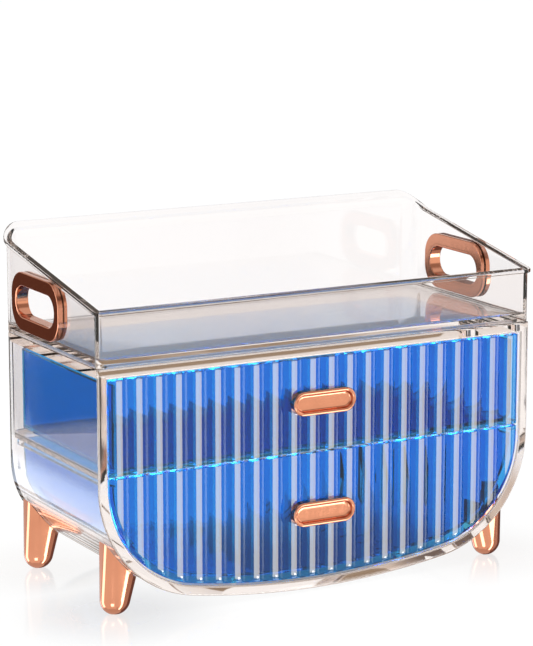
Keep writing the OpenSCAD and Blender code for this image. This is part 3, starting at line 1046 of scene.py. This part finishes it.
@dataclass
class Tray:
    """Lift-off tray with its sloping rim, finger holes and grips."""

    half_w: float = 141.5
    front_y: float = -63.9
    back_y: float = 66.1
    low_z: float = 144.7
    floor_z: Pair = (146.2, 148.7)
    fillet: float = 2.2
    edge: float = 0.7
    foot_w: float = 6.0
    wall: float = 3.0
    radii: Pair = (3.5, 12.0)
    rim_front_z: float = 176.5
    sweep: Pair = (49.1, 197.0)
    back_z: float = 206.0
    rim_out: float = 1.8
    rim_h: float = 2.0
    rim_edge: float = 0.3
    grip: Pair = (12.1, 167.385)
    grip_size: Triple = (64.0, 34.0, 14.0)
    hole: Pair = (52.0, 18.0)
    hole_turn: int = 12
    sleeve_t: float = 1.6
    sleeve_edge: float = 0.4
    ring_t: float = 3.0
    ring_edge: float = 0.45
    mouth_r: float = 0.9
    back_ring_t: float = 2.0
    fit: float = 0.15

    @property
    def tunnel(self) -> Pair:
        """Half straight length and radius of the hole in the wall."""
        radius = self.hole[1] / 2 + self.sleeve_t + self.fit
        return (self.hole[0] - self.hole[1]) / 2, radius

    def rim(self, y: Array) -> Array:
        """Height of the rim at Y: a straight slope, then an arc that sweeps on smoothly up to the back.

        Args:
            y: Y values.

        Returns:
            The heights.
        """
        y0, z0 = self.sweep
        slope = math.atan2(z0 - self.rim_front_z, y0 - self.front_y)
        dy, dz = self.back_y - y0, self.back_z - z0
        along = dy * math.cos(slope) + dz * math.sin(slope)
        rise = dz * math.cos(slope) - dy * math.sin(slope)
        r = (along**2 + rise**2) / (2 * rise)
        cy, cz = y0 - r * math.sin(slope), z0 + r * math.cos(slope)
        arc = cz - np.sqrt(np.maximum(r**2 - (y - cy) ** 2, 0))
        return np.where(y < y0, z0 + (y - y0) * math.tan(slope), arc)

    def plan(self) -> Outline:
        """Plan of the walls, with stops on the sides that fit the finger holes.

        Returns:
            The closed outline.
        """
        straight, radius = self.tunnel
        end = straight + radius * np.sin(np.linspace(0, np.pi / 2, self.hole_turn))
        holes = np.concatenate([-end[::-1], np.linspace(-straight, straight, 9)[1:-1], end]) + self.grip[0]
        f, b = self.radii
        before = np.linspace(self.front_y + f, holes[0], 8)[1:-1]
        after = np.linspace(holes[-1], self.back_y - b, 5)[1:-1]
        stops = np.concatenate([before, holes, after])
        low, high = (-self.half_w, self.front_y), (self.half_w, self.back_y)
        return Outline.box(low, high, (f, f, b, b), 12, stops, stops[::-1], 20)

    def opening(self, points: Array) -> Array:
        """Half height of the finger hole at each point of the plan, zero away from it.

        Args:
            points: Points of the plan.

        Returns:
            The half heights.
        """
        straight, radius = self.tunnel
        past = np.maximum(np.abs(points[:, 1] - self.grip[0]) - straight, 0)
        on_side = np.abs(np.abs(points[:, 0]) - self.half_w) < self.wall + 0.01
        return np.where(on_side, np.sqrt(np.maximum(radius**2 - past**2, 0)), 0.0)

    def shell(self) -> Surface:
        """Tray: parallels of its plan up to the rim, over it, down and under the foot, with open holes.

        Returns:
            The closed surface.
        """
        plan = self.plan()
        c, s = quarter()
        made = Surface()

        def level(inset: float, height: float) -> Array:
            """Ring of the plan at one height."""
            p = plan.inset(inset)
            return place(p[:, 0], p[:, 1], np.full(len(p), height))

        def below_rim(inset: float, drop: float) -> Array:
            """Ring of the plan that follows the rim."""
            p = plan.inset(inset)
            return place(p[:, 0], p[:, 1], self.rim(p[:, 1]) - drop)

        low, fillet, e, under = self.floor_z[1], self.fillet, self.edge, self.rim_edge
        floor = [level(self.wall + fillet * a, low + fillet * b) for a, b in zip(s, c)]
        made.cap(floor[0], 3).patch(np.stack(floor), wrap=True)
        over = [below_rim(self.wall - e * a, e * b) for a, b in zip(c, s)]
        over += [below_rim(-self.rim_out + e * a, e * b) for a, b in zip(c[::-1], s[::-1])]
        over += [below_rim(-self.rim_out, self.rim_h - under), below_rim(-self.rim_out + under, self.rim_h)]
        over += [below_rim(0, self.rim_h)]
        made.patch(np.stack(over), wrap=True)
        foot = [level(e * a, self.low_z + e * b) for a, b in zip(c, s)]
        foot += [level(self.foot_w, self.low_z), level(self.foot_w, self.floor_z[0])]
        made.patch(np.stack(foot), wrap=True).cap(foot[-1], 3)
        mouth = []
        for inset, start, stop in ((self.wall, floor[-1], over[0]), (0.0, foot[0], over[-1])):
            middle = level(inset, self.grip[1])
            half = self.opening(plan.inset(inset))
            lip_low, lip_high = middle.copy(), middle.copy()
            lip_low[:, 2] -= half
            lip_high[:, 2] += half
            share = np.linspace(0, 1, 5)[:, None, None]
            made.patch(start + (lip_low - start) * share, wrap=True)
            made.patch(lip_high + (stop - lip_high) * share, wrap=True)
            mouth.append((lip_low, lip_high))
        y = plan.inset(0)[:, 1]
        open_here = np.abs(y - self.grip[0]) <= sum(self.tunnel) + 0.001
        for side in Side:
            pick = open_here & (np.abs(plan.inset(0)[:, 0] - side.value * self.half_w) < 0.01)
            for k in (0, 1):
                made.patch(np.stack([mouth[0][k][pick], mouth[1][k][pick]]))
        return made

    def ring(self, side: Side) -> Surface:
        """Outer grip ring: from its border over the flat face into the hole and back along the sleeve.

        Args:
            side: Left or right of the box.

        Returns:
            The closed surface.
        """
        border, hole = Outline.oblong(*self.grip_size), Outline.oblong(*self.hole, self.hole[1] / 2)
        c, s = quarter()
        t, e, r = self.ring_t, self.ring_edge, self.mouth_r
        end, cut, skin = -self.wall - self.back_ring_t, self.sleeve_edge, -self.sleeve_t
        rings = [lathe(border, [(0.0, 0.0)] + [(e * a, t - e * b) for a, b in zip(c, s)], "yzx")]
        rings += [lathe(hole, [(-r * a, t - r * b) for a, b in zip(s, c)], "yzx")]
        rings += [lathe(hole, [(0.0, end + cut), (-cut, end), (skin, end), (skin, 0.0)], "yzx")]
        return self.seated(np.concatenate(rings + [rings[0][:1]]), side, self.half_w)

    def back_ring(self, side: Side) -> Surface:
        """Inner grip ring that closes on the sleeve.

        Args:
            side: Left or right of the box.

        Returns:
            The closed surface.
        """
        border = Outline.oblong(*self.grip_size)
        radius = self.tunnel[1]
        hole = Outline.oblong(self.hole[0] + 2 * (self.sleeve_t + self.fit), 2 * radius, radius)
        c, s = quarter()
        e, t = self.ring_edge, self.back_ring_t
        rings = [lathe(border, [(0.0, 0.0)] + [(e * a, -t + e * b) for a, b in zip(c, s)], "yzx")]
        rings += [lathe(hole, [(0.0, -t), (0.0, 0.0)], "yzx")]
        return self.seated(np.concatenate(rings + [rings[0][:1]]), side, self.half_w - self.wall)

    def seated(self, rings: Array, side: Side, wall_x: float) -> Surface:
        """Puts a grip's rings on the wall of one side."""
        x, (y, z) = side.value * (wall_x + rings[..., 0]), self.grip
        return Surface().patch(place(x, rings[..., 1] + y, rings[..., 2] + z), wrap=True)

    def publish(self) -> None:
        """Makes the tray and its four rings."""
        body = Body.TRAY
        Piece("clear_tray", self.shell(), CLEAR, body, ("top_tray",)).publish()
        for side in Side:
            word = side.name.lower()
            outer, inner = self.ring(side), self.back_ring(side)
            Piece(f"{word}_grip_outer", outer, ROSE_GOLD, body, (f"{word}_grip_ring",)).publish()
            Piece(f"{word}_grip_inner", inner, ROSE_GOLD, body, (f"{word}_grip_back_ring",)).publish()


@dataclass
class Leg:
    """Tapered leg: round toe, splayed outer face, slanting round inner end, top under the cabinet's curve.

    The toe is an ellipsoid and the top a plan with two outer corner rounds and a half ellipse. The shaft
    is the straight skin between them, which joins points whose plan normals have the same angle.
    """

    bowl: Bowl
    outer_x: float = 132.0
    splay: float = 1.5
    tip: Pair = (18.0, 14.5)
    toe_h: float = 9.0
    top: Pair = (29.5, 17.5)
    top_angle: float = 20.0
    outer_r: float = 6.0
    inner_l: float = 14.0
    foot_cut: float = 0.5
    gap: float = 0.15
    rows: Pair = (-47.4, 57.1)
    corner_steps: int = 13
    inner_steps: int = 37
    toe_steps: int = 13
    skin_steps: int = 17
    lid_steps: int = 8
    roof_tries: int = 40

    @property
    def toe_z(self) -> float:
        """Height of the toe's middle above the floor."""
        return self.toe_h - self.foot_cut

    @property
    def top_z(self) -> float:
        """Height of the top plan, inside the corner's curve."""
        return self.bowl.corner_z - self.bowl.corner_r * math.sin(math.radians(self.top_angle))

    def angles(self) -> Array:
        """Normal angles round the plan, doubled where a straight side joins two rounds.

        Returns:
            The angles in radians.
        """
        corner = np.linspace(0, np.pi / 2, self.corner_steps)
        inner = np.linspace(np.pi / 2, 3 * np.pi / 2, self.inner_steps)
        return np.concatenate([corner, inner, corner + 3 * np.pi / 2])

    def top_plan(self, angle: Array) -> Array:
        """Points of the top plan: on a circle at the outer corners and on an ellipse at the inner end.

        Args:
            angle: Normal angles round the plan.

        Returns:
            The points.
        """
        n = ways(angle)
        count, first = np.arange(len(angle)), self.corner_steps
        inside = (count >= first) & (count < first + self.inner_steps)
        half, r = self.top[1] / 2, self.outer_r
        row = np.where(count < first, 1, -1) * (half - r)
        outer = np.stack([np.full(len(angle), self.outer_x - r), row], axis=1) + r * n
        axes = np.array([self.inner_l, half])
        middle = np.array([self.outer_x - self.top[0] + self.inner_l, 0])
        inner = middle + n * axes**2 / np.hypot(*(n * axes).T)[:, None]
        return np.where(inside[:, None], inner, outer)

    def roof(self, x: Array) -> Array:
        """Height of the cabinet's curve at X, less the gap."""
        reach = self.bowl.corner_r + self.gap
        return self.bowl.corner_z - np.sqrt(reach**2 - (x - self.bowl.corner_x) ** 2)

    def surface(self, side: Side, row_y: float) -> Surface:
        """Leg: rings up the toe to where the skin leaves it, then straight up to the cabinet's curve.

        The skin leaves the toe where a plane touches both the toe and the top: with t the plane's lean,
        (top - H t)^2 = tip^2 + toe^2 t^2 for the supports of top and tip at the same normal angle.

        Args:
            side: Left or right of the box.
            row_y: Y of the leg's middle.

        Returns:
            The closed surface.
        """
        angle = self.angles()
        n = ways(angle)
        axes = np.array(self.tip) / 2
        tip_reach = np.hypot(*(n * axes).T)
        middle = np.array([self.outer_x + self.splay - axes[0], 0.0])
        tip = n * axes**2 / tip_reach[:, None]
        top = self.top_plan(angle) - middle
        top_reach = (top * n).sum(axis=1)
        rise, toe = self.top_z - self.toe_z, self.toe_h
        spread = rise**2 - toe**2
        lean = top_reach * rise
        lean = (lean - np.sqrt(lean**2 - spread * (top_reach**2 - tip_reach**2))) / spread
        leave = np.arcsin(toe * lean / np.sqrt(tip_reach**2 + (toe * lean) ** 2))
        floor = math.asin(self.toe_z / toe)
        turn = floor + (leave - floor) * np.linspace(0, 1, self.toe_steps)[:, None]
        toe_xy = np.cos(turn)[..., None] * tip
        toe_z = self.toe_z - toe * np.sin(turn)
        start, start_z = toe_xy[-1], toe_z[-1]

        def shaft(height: Array) -> Array:
            """Points of the skin at given heights."""
            share = (height - start_z) / (self.top_z - start_z)
            return start + (top - start) * share[..., None]

        end = np.full(len(angle), self.top_z)
        for _ in range(self.roof_tries):
            end = self.roof(shaft(end)[:, 0] + middle[0])
        skin_z = start_z + (end - start_z) * np.linspace(0, 1, self.skin_steps)[1:, None]
        skin = shaft(skin_z)
        xy = np.concatenate([toe_xy, skin]) + middle
        rings = place(xy[..., 0], xy[..., 1], np.concatenate([toe_z, skin_z]))
        lid = fan(rings[-1], self.lid_steps)
        lid[..., 2] = self.roof(lid[..., 0])
        made = Surface()
        for grid in (rings, lid, fan(rings[0], 2)):
            made.patch(place(side.value * grid[..., 0], grid[..., 1] + row_y, grid[..., 2]), wrap=True)
        return made

    def publish(self) -> None:
        """Makes the four legs."""
        for row, y in zip(("front", "back"), self.rows):
            for side in Side:
                word = f"{row}_{side.name.lower()}_leg"
                Piece(f"{word}_plated", self.surface(side, y), ROSE_GOLD, Body.CABINET, (word,)).publish()


@dataclass(frozen=True)
class Window:
    """Panel of the surroundings in degrees: middle and half width round the horizon, lower and upper edge.

    The tilt lifts the panel's edges by that share of the way aside from its middle.
    """

    azimuth: float
    half: float
    low: float
    high: float
    colour: Triple
    soft: float = 2.0
    tilt: float = 0.0


@dataclass(frozen=True)
class PaintedDimPatch:
    """Dim patch painted into the floor's glow, a painted shade, in metres: its middle, where it fades on
    each axis and its brightness.
    """

    x: float
    y: float
    fade_x: Pair
    fade_y: Pair
    level: float

    def share(self, sketch: Sketch, x: Socket, y: Socket) -> Socket:
        """One on the patch and zero off it."""
        return sketch.product(sketch.band(x, self.x, self.fade_x), sketch.band(y, self.y, self.fade_y))


@dataclass
class Studio:
    """Camera, pale floor, dark card, lamp and white surroundings, in metres."""

    azimuth: float = -28.968
    elevation: float = 11.21
    distance: float = 1.55718
    target: Triple = (-0.00038, 0.00131, 0.145965)
    lens: float = 147.27
    floor_half: float = 30.0
    floor_drop: float = 0.0002
    floor_level: float = 0.95
    # Painted shadow: the floor's glow, seen through plastic, is dimmed to this level before and under the
    # box.
    under: PaintedDimPatch = PaintedDimPatch(0.0, -0.05, (0.09, 0.15), (0.08, 0.13), 0.45)
    # Painted dark patch behind the box's left side, dimming the floor's glow where mirror images in the
    # plastic show it.
    behind: PaintedDimPatch = PaintedDimPatch(-0.38, 0.62, (0.12, 0.18), (0.2, 0.28), 0.06)
    feet: Triple = (0.1245, -0.047, 0.057)
    foot_mirror: float = 0.22
    foot_fade: Pair = (0.01, 0.08)
    card_spot: Triple = (-0.2224, 0.1916, 0.107)
    card_way: Triple = (-0.397, 0.898, -0.188)
    card_half: Pair = (0.045, 0.06)
    card_turn_z: Pair = (0.085, 0.105)
    lamp_spot: Triple = (-0.3, -0.5, 1.5)
    lamp_aim: Triple = (0.0, 0.0, 0.1)
    lamp_side: float = 0.9
    lamp_power: float = 7.0
    mirrored: tuple[Window, ...] = (
        # Ceiling and floor
        Window(0, 181, 18, 91, (0.45, 0.37, 0.32), 6),
        Window(0, 181, 52, 91, (0.9, 0.88, 0.86), 6),
        Window(0, 181, -91, -42, (0.80, 0.74, 0.70), 5),
        # What front faces mirror
        Window(151, 22, -45, 24, (1.2, 1.12, 1.0), 6),
        # What left faces mirror, with upright streaks
        Window(-33, 13, -16, 14, (0.82, 0.76, 0.72)),
        Window(-19, 13, -38, -17, (1.9, 2.1, 2.5), 4),
        *(Window(a, 1.1, -40, -5, (0.30, 0.21, 0.15), 0.6) for a in (-7, 1, 8, 15, 22)),
        *(Window(a, 0.8, -40, -5, (0.05, 0.03, 0.02), 0.5) for a in (-4, 4, 11.5, 18.5)),
        # What the sides of flutes and the rounds of legs mirror
        Window(65, 35, -60, 14, (0.20, 0.13, 0.12), 2),
        Window(118, 18, -60, -17.3, (0.62, 0.52, 0.48), 0.8),
        Window(104, 5, -16.8, 14, (0.12, 0.06, 0.05), 1.5),
        Window(116, 6, -16.8, 40, (3.4, 3.4, 3.4), 1.5),
        Window(143.2, 7.2, -60, -17.5, (6.0, 6.0, 6.0), 0.8),
        # What leg faces and toes mirror
        Window(-136, 51, -60, 0, (1.15, 1.08, 0.98), 5),
        Window(-65, 16, -45, 20, (4.0, 4.0, 4.0), 2),
        Window(-154, 11, -41, -25, (5.0, 5.0, 5.0), 1.5),
    )
    seen_through: tuple[Window, ...] = (
        # Ceiling with a dark ring, and the brown that the deck shows in front of the tray
        Window(0, 181, 12, 91, (0.66, 0.55, 0.47), 6),
        Window(0, 181, 30, 48, (0.14, 0.09, 0.07), 4),
        Window(0, 181, 56, 91, (0.85, 0.85, 0.85), 5),
        Window(29, 45, 11.62, 24, (0.30, 0.20, 0.12), 0.15, -0.0978),
    )

    def stand(self, data: bpy.types.ID, spot: Vector, way: Vector) -> bpy.types.Object:
        """Puts a camera or lamp in the scene.

        Args:
            data: The camera or lamp.
            spot: Where it stands.
            way: Where it looks.

        Returns:
            Its object.
        """
        made = bpy.data.objects.new(data.name, data)
        made.location = spot
        made.rotation_mode = "QUATERNION"
        made.rotation_quaternion = way.to_track_quat("-Z", "Y")
        bpy.context.scene.collection.objects.link(made)
        return made

    def camera(self) -> None:
        """Camera at the photograph's angle, level and without shift."""
        az, el = math.radians(self.azimuth), math.radians(self.elevation)
        back = Vector((math.sin(az) * math.cos(el), -math.cos(az) * math.cos(el), math.sin(el)))
        data = bpy.data.cameras.new("camera")
        data.lens, data.sensor_width = self.lens, 36.0
        bpy.context.scene.camera = self.stand(data, Vector(self.target) + back * self.distance, -back)

    def world(self) -> None:
        """White surroundings for the camera, with studio panels for what mirrors or bends light."""
        made = bpy.data.worlds.new("studio")
        made.use_nodes = True
        bpy.context.scene.world = made
        sketch = Sketch(made.node_tree)
        ray = sketch.node("ShaderNodeLightPath").outputs
        way = sketch.node("ShaderNodeTexCoord").outputs["Generated"]
        axis = sketch.node("ShaderNodeSeparateXYZ", {0: way}).outputs
        level = sketch.node("ShaderNodeCombineXYZ", {0: axis[0], 1: axis[1], 2: 0.0}).outputs[0]
        level = sketch.node("ShaderNodeVectorMath", {0: level}, operation="NORMALIZE").outputs[0]
        height = sketch.product(sketch.math("ARCSINE", axis[2]), DEGREES)

        def towards(azimuth: float) -> Socket:
            """Cosine of the angle between the level way and an azimuth in degrees.

            Args:
                azimuth: Angle round the horizon, from the back towards the right.

            Returns:
                The cosine.
            """
            a = math.radians(azimuth)
            inputs = {0: level, 1: (math.sin(a), math.cos(a), 0)}
            return sketch.node("ShaderNodeVectorMath", inputs, operation="DOT_PRODUCT").outputs["Value"]

        def panels(base: Triple, windows: tuple[Window, ...]) -> Socket:
            """Lays the windows over a base colour in order.

            Args:
                base: Colour behind all windows.
                windows: The windows, the last on top.

            Returns:
                The colour seen.
            """
            seen: object = base
            for w in windows:
                aside = sketch.product(sketch.math("ARCCOSINE", towards(w.azimuth)), DEGREES)
                rise = height
                if w.tilt:
                    slant = sketch.product(towards(w.azimuth + 90), w.tilt * DEGREES)
                    rise = sketch.math("SUBTRACT", height, slant)
                share = sketch.product(
                    sketch.ramp(aside, (w.half - w.soft, w.half + w.soft), (1.0, 0.0)),
                    sketch.ramp(rise, (w.low - w.soft, w.low + w.soft), (0.0, 1.0)),
                    sketch.ramp(rise, (w.high - w.soft, w.high + w.soft), (1.0, 0.0)),
                )
                seen = sketch.mix(share, seen, w.colour)
            return seen

        white, grey, pale = (1.0, 1.0, 1.0), (0.75, 0.75, 0.75), (0.97, 0.95, 0.94)
        seen = sketch.mix(ray["Is Glossy Ray"], grey, panels(pale, self.mirrored))
        seen = sketch.mix(ray["Is Transmission Ray"], seen, panels(white, self.seen_through))
        seen = sketch.mix(ray["Is Camera Ray"], seen, white)
        glow = sketch.node("ShaderNodeBackground", {"Color": seen, "Strength": 1.0})
        sketch.node("ShaderNodeOutputWorld", {"Surface": glow.outputs[0]})

    def sheet(self, name: str, corners: list[Vector]) -> tuple[bpy.types.Object, Sketch]:
        """Flat sheet of the stage.

        Args:
            name: Name of the sheet and its finish.
            corners: Its four corners in order.

        Returns:
            The sheet and the sketch of its empty finish.
        """
        mesh = bpy.data.meshes.new(name)
        mesh.from_pydata([tuple(corner) for corner in corners], [], [(0, 1, 2, 3)])
        made = bpy.data.objects.new(name, mesh)
        bpy.context.scene.collection.objects.link(made)
        finish = bpy.data.materials.new(name)
        finish.use_nodes = True
        mesh.materials.append(finish)
        return made, Sketch(finish.node_tree)

    def floor(self) -> None:
        """Pale floor that stays white, keeps a faint shadow and mirrors the legs near their feet.

        Seen through plastic, it carries a painted shadow before and under the box, where its glow is
        dimmer.
        Seen so by way of a mirror image, it has a painted dark patch behind the box's left side.
        """
        corners = ((-1, -1, 0), (1, -1, 0), (1, 1, 0), (-1, 1, 0))
        made, sketch = self.sheet("floor", [Vector(corner) * self.floor_half for corner in corners])
        made.location.z = -self.floor_drop
        made.visible_glossy = False
        ray = sketch.node("ShaderNodeLightPath").outputs
        x, y, _ = sketch.axes()
        foot_x, front_y, back_y = self.feet
        dx = sketch.math("SUBTRACT", sketch.math("ABSOLUTE", x), foot_x)
        dy = sketch.math(
            "MINIMUM",
            sketch.math("ABSOLUTE", sketch.math("SUBTRACT", y, front_y)),
            sketch.math("ABSOLUTE", sketch.math("SUBTRACT", y, back_y)),
        )
        away = sketch.math("SQRT", sketch.math("ADD", sketch.product(dx, dx), sketch.product(dy, dy)))
        mirror = sketch.ramp(away, self.foot_fade, (self.foot_mirror, 0.0))
        # The painted dark patch shows only after a mirror bounce.
        turned = sketch.ramp(ray["Glossy Depth"], (0.4, 0.6), (0.0, 1.0))
        behind = sketch.product(self.behind.share(sketch, x, y), turned)
        # Seen through plastic, the glow carries the painted shadow under the box and the painted dark patch
        # behind it.
        bent = ray["Is Transmission Ray"]
        through = sketch.product(
            bent,
            sketch.ramp(self.under.share(sketch, x, y), (0, 1), (1.0, self.under.level)),
            sketch.ramp(behind, (0, 1), (1.0, self.behind.level)),
        )
        direct = sketch.product(sketch.math("SUBTRACT", 1.0, bent), self.floor_level)
        level = sketch.math("ADD", through, direct)
        white = sketch.node("ShaderNodeEmission", {"Color": (1, 1, 1, 1), "Strength": level})
        matt = sketch.node("ShaderNodeBsdfDiffuse", {"Color": (0.08, 0.08, 0.08, 1)})
        pale = sketch.node("ShaderNodeAddShader", {0: white.outputs[0], 1: matt.outputs[0]})
        gloss = sketch.node("ShaderNodeBsdfGlossy", {"Color": (1, 1, 1, 1), "Roughness": 0.12})
        both = sketch.node("ShaderNodeMixShader", {0: mirror, 1: pale.outputs[0], 2: gloss.outputs[0]})
        plain = sketch.node("ShaderNodeBsdfDiffuse", {"Color": (0.8, 0.8, 0.8, 1)})
        shown = sketch.math("MAXIMUM", ray["Is Camera Ray"], bent)
        out = sketch.node("ShaderNodeMixShader", {0: shown, 1: plain.outputs[0], 2: both.outputs[0]})
        sketch.node("ShaderNodeOutputMaterial", {"Surface": out.outputs[0]})

    def card(self) -> None:
        """Dark card beside the left grip, seen only as a mirror image."""
        middle, way = Vector(self.card_spot), Vector(self.card_way)
        aside = way.cross(Vector((0, 0, 1))).normalized()
        rise = aside.cross(way).normalized()
        a, b = aside * self.card_half[0], rise * self.card_half[1]
        made, sketch = self.sheet("card", [middle - a - b, middle + a - b, middle + a + b, middle - a + b])
        made.visible_camera = made.visible_diffuse = made.visible_transmission = made.visible_shadow = False
        upper = sketch.ramp(sketch.axes()[2], self.card_turn_z, (0.0, 1.0))
        tone = sketch.mix(upper, (0.03, 0.03, 0.04), (0.14, 0.075, 0.055))
        glow = sketch.node("ShaderNodeEmission", {"Color": tone, "Strength": 1.0})
        sketch.node("ShaderNodeOutputMaterial", {"Surface": glow.outputs[0]})

    def lamp(self) -> None:
        """Soft square lamp overhead, which isn't seen itself."""
        data = bpy.data.lights.new("overhead softbox", "AREA")
        data.size, data.energy = self.lamp_side, self.lamp_power
        spot = Vector(self.lamp_spot)
        made = self.stand(data, spot, Vector(self.lamp_aim) - spot)
        made.visible_camera = made.visible_glossy = made.visible_transmission = False

    def view(self) -> None:
        """Plain colour view, with enough bounces for light that runs along inside the walls."""
        scene = bpy.context.scene
        scene.view_settings.view_transform = "Standard"
        scene.cycles.max_bounces = 40
        scene.cycles.glossy_bounces = scene.cycles.transmission_bounces = 32


def upper_section(half_w: float, low: float, edge: float) -> Outline:
    """Lower outline of the upper tub: a flat floor with round edges.

    Args:
        half_w: Half width of the tub.
        low: Height of its underside.
        edge: Radius of its lower edges.

    Returns:
        The outline from left to right.
    """
    x, z = half_w - edge, low + edge
    across = np.linspace(-x, x, 42)[1:-1]
    return Outline.join(
        Outline.arc((-x, z), edge, 180, 270, 14),
        Outline.line(np.stack([across, np.full_like(across, low)], 1), (0, -1)),
        Outline.arc((x, z), edge, 270, 360, 14),
    )


def main() -> None:
    """Builds the box from the cabinet outwards, then the studio round it."""
    logging.basicConfig(level=logging.INFO, format="%(name)s: %(message)s")
    bowl = Bowl()
    Cabinet(bowl).publish()
    Drawer(
        "upper",
        Body.UPPER_DRAWER,
        bowl,
        tub_outline=upper_section(half_w=131.1, low=84.8, edge=6.0),
        tub_inset=0.0,
        tub_top=134.5,
        front_z=(83.0, 137.5),
        pull_z=112.05,
    ).publish()
    Drawer(
        "lower",
        Body.LOWER_DRAWER,
        bowl,
        tub_outline=bowl.lower(),
        tub_inset=10.4,
        tub_top=77.5,
        front_z=(8.5, 82.0),
        pull_z=47.05,
    ).publish()
    Tray().publish()
    Leg(bowl).publish()
    studio = Studio()
    studio.camera()
    studio.world()
    studio.floor()
    studio.card()
    studio.lamp()
    studio.view()


if __name__ == "__main__":
    main()
